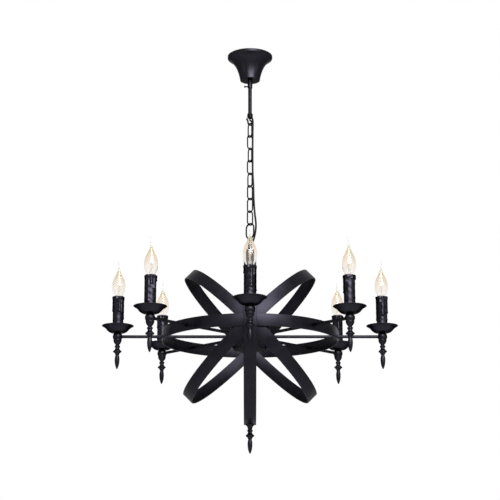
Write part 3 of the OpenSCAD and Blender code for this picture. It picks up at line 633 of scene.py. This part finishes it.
hub = {"radius": 54, "high": 34, "bore": 6.1, "shellSpan": 54, "shellLow": -20.4, "shellIn": 49.6,
       "coverTop": -20.9, "coverSpan": 13.1, "coverIn": (48.9, -20.3), "coverLess": 0.2, "edge": 0.8,
       "segments": 128}
shellLine = [(hub["bore"], hub["high"])] + roundSide(hub["radius"], hub["high"], hub["shellSpan"], 40) \
    + [(hub["shellIn"], hub["shellLow"]), (hub["bore"], hub["shellLow"])]
put(turned("hubShell", softened(shellLine, hub["edge"]), stuff["iron"], (0, 0, cageZ), hub["segments"],
           closed=True), "cage", "black_iron", "hub_body")
coverLine = [(hub["bore"], -21), hub["coverIn"]] \
    + [(r - hub["coverLess"], z) for r, z in roundSide(hub["radius"], hub["coverTop"],
                                                           hub["coverSpan"], 10)] \
    + [(hub["bore"], -hub["high"])]
put(turned("hubLowerCover", softened(coverLine, hub["edge"]), stuff["iron"], (0, 0, cageZ), hub["segments"],
           closed=True), "cage", "black_iron", "hub_cover")

finial = {"down": 225.6, "foot": (11.3, 0), "disc": -28.5}
finialLine = [(0, 0), finial["foot"]] \
    + outline(finial["foot"], ((11.6, -0.6), (11.2, -1.4), 4), ((6.4, -5), (5.8, -10.5), 10)) \
    + dropLine(finial["disc"])
put(turned("baseFinial", finialLine, stuff["iron"], (0, 0, cageZ - finial["down"]), drop["segments"]), "cage",
    "black_iron", "bottom_finial")

canopy = {"rim": 60.3, "shelf": (56, -9.5), "waist": (34, -24), "smallEnd": (26.6, -68), "low": -70,
          "wall": 1.2, "bore": 5.4, "rimTop": 0.3, "segments": 160}  # rimTop meets the ceiling
skin = [(canopy["rim"], -0.6), (canopy["rim"], -5)] \
    + outline((canopy["rim"], -5), ((canopy["rim"], -7.8), canopy["shelf"], 10),
              (canopy["waist"], canopy["smallEnd"], 28),
              ((canopy["smallEnd"][0], canopy["low"]), (24.6, canopy["low"]), 8),
              (canopy["bore"], canopy["low"]))
lining = [(max(r - canopy["wall"], canopy["bore"]), min(z + canopy["wall"], canopy["rimTop"]))
          for r, z in skin]
put(turned("bellCanopy", skin + lining[::-1], stuff["canopy"], (0, 0, -canopy["rimTop"]), canopy["segments"],
           closed=True, sharp=50), "canopy", "black_iron", "canopy")

collar = {"bore": 5.2, "radius": 6.5, "top": -70.3, "low": -91.9, "segments": 64}
collarLine = [(collar["bore"], collar["top"])] \
    + outline((collar["bore"], collar["top"]), (5.9, collar["top"]),
              ((collar["radius"], -70.4), (collar["radius"], -71.4), 4), (collar["radius"], -84)) \
    + bend((collar["radius"], -88.4), (collar["radius"], collar["low"]), (5.4, collar["low"]), 6) \
    + [(collar["bore"], collar["low"])]
put(turned("stemCollar", collarLine, stuff["iron"], (0, 0, 0), collar["segments"], closed=True), "canopy",
    "black_iron", "canopy_collar")
print("turned parts made")

# Chain: links bent from round wire with a welded seam in one leg

chain = {"top": -191.4, "pitch": 34.7, "line": 38.5, "bend": 9.0, "wire": 1.75, "weld": 1.95,
         "bendSteps": 14, "legSteps": 8, "sides": 16,
         "turns": [-58, 44, -60, 42, -52, 45, -43, 42]}  # the way that each link faces, in degrees
linkNumbers = range(len(chain["turns"]))


def halfRound(z, start, azimuth):
    out = []
    w = math.radians(azimuth)
    for i in range(chain["bendSteps"] + 1):
        a = math.radians(start + 180 * i / chain["bendSteps"])
        x = chain["bend"] * math.cos(a)
        out.append(Vector((x * math.cos(w), x * math.sin(w), z + chain["bend"] * math.sin(a))))
    return out


def linkLine(top, azimuth):
    # the wire's middle line, in the upright plane at azimuth
    high = top - chain["bend"]
    leg = chain["line"] - 2 * chain["bend"]
    out = halfRound(high, 0, azimuth)
    first, last = out[0], out[-1]
    out += [Vector((last.x, last.y, high - leg * i / chain["legSteps"])) for i in range(1, chain["legSteps"])]
    out += halfRound(high - leg, 180, azimuth)
    out += [Vector((first.x, first.y, high - leg + leg * i / chain["legSteps"]))
            for i in range(1, chain["legSteps"])]
    return out


for k in linkNumbers:
    line = linkLine(chain["top"] - k * chain["pitch"], chain["turns"][k])
    radii = [chain["wire"]] * len(line)
    radii[-4] = chain["weld"]  # halfway up the last leg
    put(swept(f"wireLink{k + 1}", line, radii, stuff["link"], chain["sides"], closed=True), f"link_{k + 1}",
        "black_iron", f"chain_link_{k + 1}")
print("chain made")

# The supply cable, in lengths cut at a fixed height and at the middle of each chain link

route = [(17, 0, -17), (17, 0, -14), (15, 0, -10.5), (11.5, 0, -8.2), (8.5, 0, -7.6), (5.5, 0, -8.2),
         (2, 0, -10.5), (0, 0, -14), (0, 0, -19), (0, 0, -60), (0, 0, -110), (0, 0, -158), (0.1, 0, -167),
         (1.4, -0.2, -171.2), (4, -0.7, -174.8), (6.3, -1.1, -178.8), (7.4, -1.3, -184), (7.6, -1.2, -192),
         (7.3, -1, -215), (7, -0.7, -250), (7, -0.7, -290), (7.2, -0.7, -330), (9, -0.8, -365),
         (9.8, -0.6, -400), (12, -0.2, -435), (14.8, 0.6, -460), (15.5, 1.2, -474), (14.2, 2.2, -490),
         (10.7, 2.9, -507), (7.6, 2.1, -517), (4, 1.1, -528), (1, 0.3, -538), (0, 0, -545), (0, 0, -600),
         (0, 0, -660), (0, 0, -720), (0, 0, -762)]
cable = {"radius": 2.5, "sides": 20, "steps": 10, "firstCut": -140, "firstJoint": -195.7, "bendHalf": 9,
         "loopEnd": 80}  # the loop above the stem ends with this point
cablePath = spline(route, cable["steps"])
linkTops = [chain["top"] - k * chain["pitch"] for k in linkNumbers]
cutHeights = [cable["firstCut"]] + [top - chain["line"] / 2 for top in linkTops]
cuts = [next(i for i, p in enumerate(cablePath) if i > cable["loopEnd"] and p.z <= z) for z in cutHeights]
cuts.append(len(cablePath) - 1)
joints = [cable["firstJoint"]] + [top - chain["line"] for top in linkTops]

put(swept("cableUpper", cablePath[:cuts[0] + 1], cable["radius"], stuff["cable"], cable["sides"]),
    "ceiling_mount", "cable", "supply_cable")
for i, joint in enumerate(joints):
    piece = swept(f"cableRun{i + 1}", cablePath[cuts[i]:cuts[i + 1] + 1], cable["radius"], stuff["cable"],
                  cable["sides"])
    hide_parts("supply_cable")
    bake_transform(piece)
print("cable made")


# Stage: pale floor out of view, white surround, soft light

def seenMask(n, link):
    # 1 where a surface is looked at straight, through glass or in a reflection, and 0 where it gives light
    rays, through, shiny = (n.new("ShaderNode" + kind) for kind in ("LightPath", "Math", "Math"))
    through.operation = shiny.operation = "MAXIMUM"
    link(rays.outputs["Is Camera Ray"], through.inputs[0])
    link(rays.outputs["Is Transmission Ray"], through.inputs[1])
    link(through.outputs[0], shiny.inputs[0])
    link(rays.outputs["Is Glossy Ray"], shiny.inputs[1])
    return shiny.outputs[0]


ground = {"radius": 40000, "height": -2400, "degrees": 5, "lift": 0.5}
rim = []
for degrees in range(0, 360, ground["degrees"]):
    a = math.radians(degrees)
    rim.append((ground["radius"] * math.cos(a), ground["radius"] * math.sin(a), ground["height"]))
floor = addMesh("floor", rim, [tuple(range(len(rim)))], stuff["floor"], 40)
# the floor looks pale by itself, keeps the shadow, and can be looked through from below
n, link = stuff["floor"].node_tree.nodes, stuff["floor"].node_tree.links.new
shader = n["Principled BSDF"]
side, lift, clear, choose = (n.new("ShaderNode" + kind) for kind in
                             ("NewGeometry", "Math", "BsdfTransparent", "MixShader"))
lift.operation = "MULTIPLY"
lift.inputs[1].default_value = ground["lift"]
link(seenMask(n, link), lift.inputs[0])
shader.inputs["Emission Color"].default_value = (1, 1, 1, 1)
link(lift.outputs[0], shader.inputs["Emission Strength"])
link(side.outputs["Backfacing"], choose.inputs["Fac"])
link(shader.outputs[0], choose.inputs[1])
link(clear.outputs[0], choose.inputs[2])
link(choose.outputs[0], n["Material Output"].inputs["Surface"])

surround = {"white": (1, 1, 1), "lower": (0.35, (0.22, 0.22, 0.25)), "upper": (0.85, (0.95, 0.95, 1.0)),
            "light": 0.4}  # what is seen, what lights the object from below and above, and how strongly
world = bpy.data.worlds.new("surround")
bpy.context.scene.world = world
world.use_nodes = True
n, link = world.node_tree.nodes, world.node_tree.links.new
for node in list(n):
    n.remove(node)
out, seen, lit, mix, coord, split, half, ramp = (
    n.new("ShaderNode" + kind) for kind in ("OutputWorld", "Background", "Background", "MixShader",
                                            "TexCoord", "SeparateXYZ", "MapRange", "ValToRGB"))
seen.inputs["Color"].default_value = (*surround["white"], 1)
seen.inputs["Strength"].default_value = 1
link(coord.outputs["Generated"], split.inputs[0])
half.inputs["From Min"].default_value = -1
half.inputs["From Max"].default_value = 1
link(split.outputs["Z"], half.inputs["Value"])
link(half.outputs["Result"], ramp.inputs["Fac"])
for step, (at, colour) in zip(ramp.color_ramp.elements, (surround["lower"], surround["upper"])):
    step.position = at
    step.color = (*colour, 1)
link(ramp.outputs["Color"], lit.inputs["Color"])
lit.inputs["Strength"].default_value = surround["light"]
link(seenMask(n, link), mix.inputs["Fac"])
link(lit.outputs[0], mix.inputs[1])
link(seen.outputs[0], mix.inputs[2])
link(mix.outputs[0], out.inputs["Surface"])

lamps = {  # in metres and watts
    "skyBox": {"at": (0.2, -0.9, 1.8), "aim": (0, 0, -0.6), "size": (1.5, 1.5), "power": 80,
               "colour": (1, 1, 1)},
    "leftBox": {"at": (-2.6, -1.6, -0.7), "aim": (0, 0, -0.8), "size": (0.9, 0.9), "power": 5,
                "colour": (0.96, 0.96, 1)},
    "rightBox": {"at": (2.6, -1.4, -0.7), "aim": (0, 0, -0.8), "size": (0.9, 0.9), "power": 6,
                 "colour": (0.96, 0.96, 1)},
    "frontBox": {"at": (0.6, -2.5, 0.85), "aim": (0, 0, -0.4), "size": (1.6, 2.3), "power": 128,
                 "colour": (1, 1, 1)},
    "neckBox": {"at": (0.34, -1.6, -0.02), "aim": (0, 0, -0.05), "size": (1.9, 0.62), "power": 44,
                "colour": (1, 1, 1)},
}
for name, lamp in lamps.items():
    data = bpy.data.lights.new(name, "AREA")
    data.shape = "RECTANGLE"
    data.size, data.size_y = lamp["size"]
    data.energy = lamp["power"]
    data.color = lamp["colour"]
    item = bpy.data.objects.new(name, data)
    item.location = lamp["at"]
    item.visible_transmission = False  # no sparks of lamp light inside the bulbs
    item.rotation_euler = (Vector(lamp["aim"]) - Vector(lamp["at"])).to_track_quat("-Z", "Y").to_euler()
    bpy.context.collection.objects.link(item)
bpy.context.scene.view_settings.view_transform = "Standard"
print("stage lit")
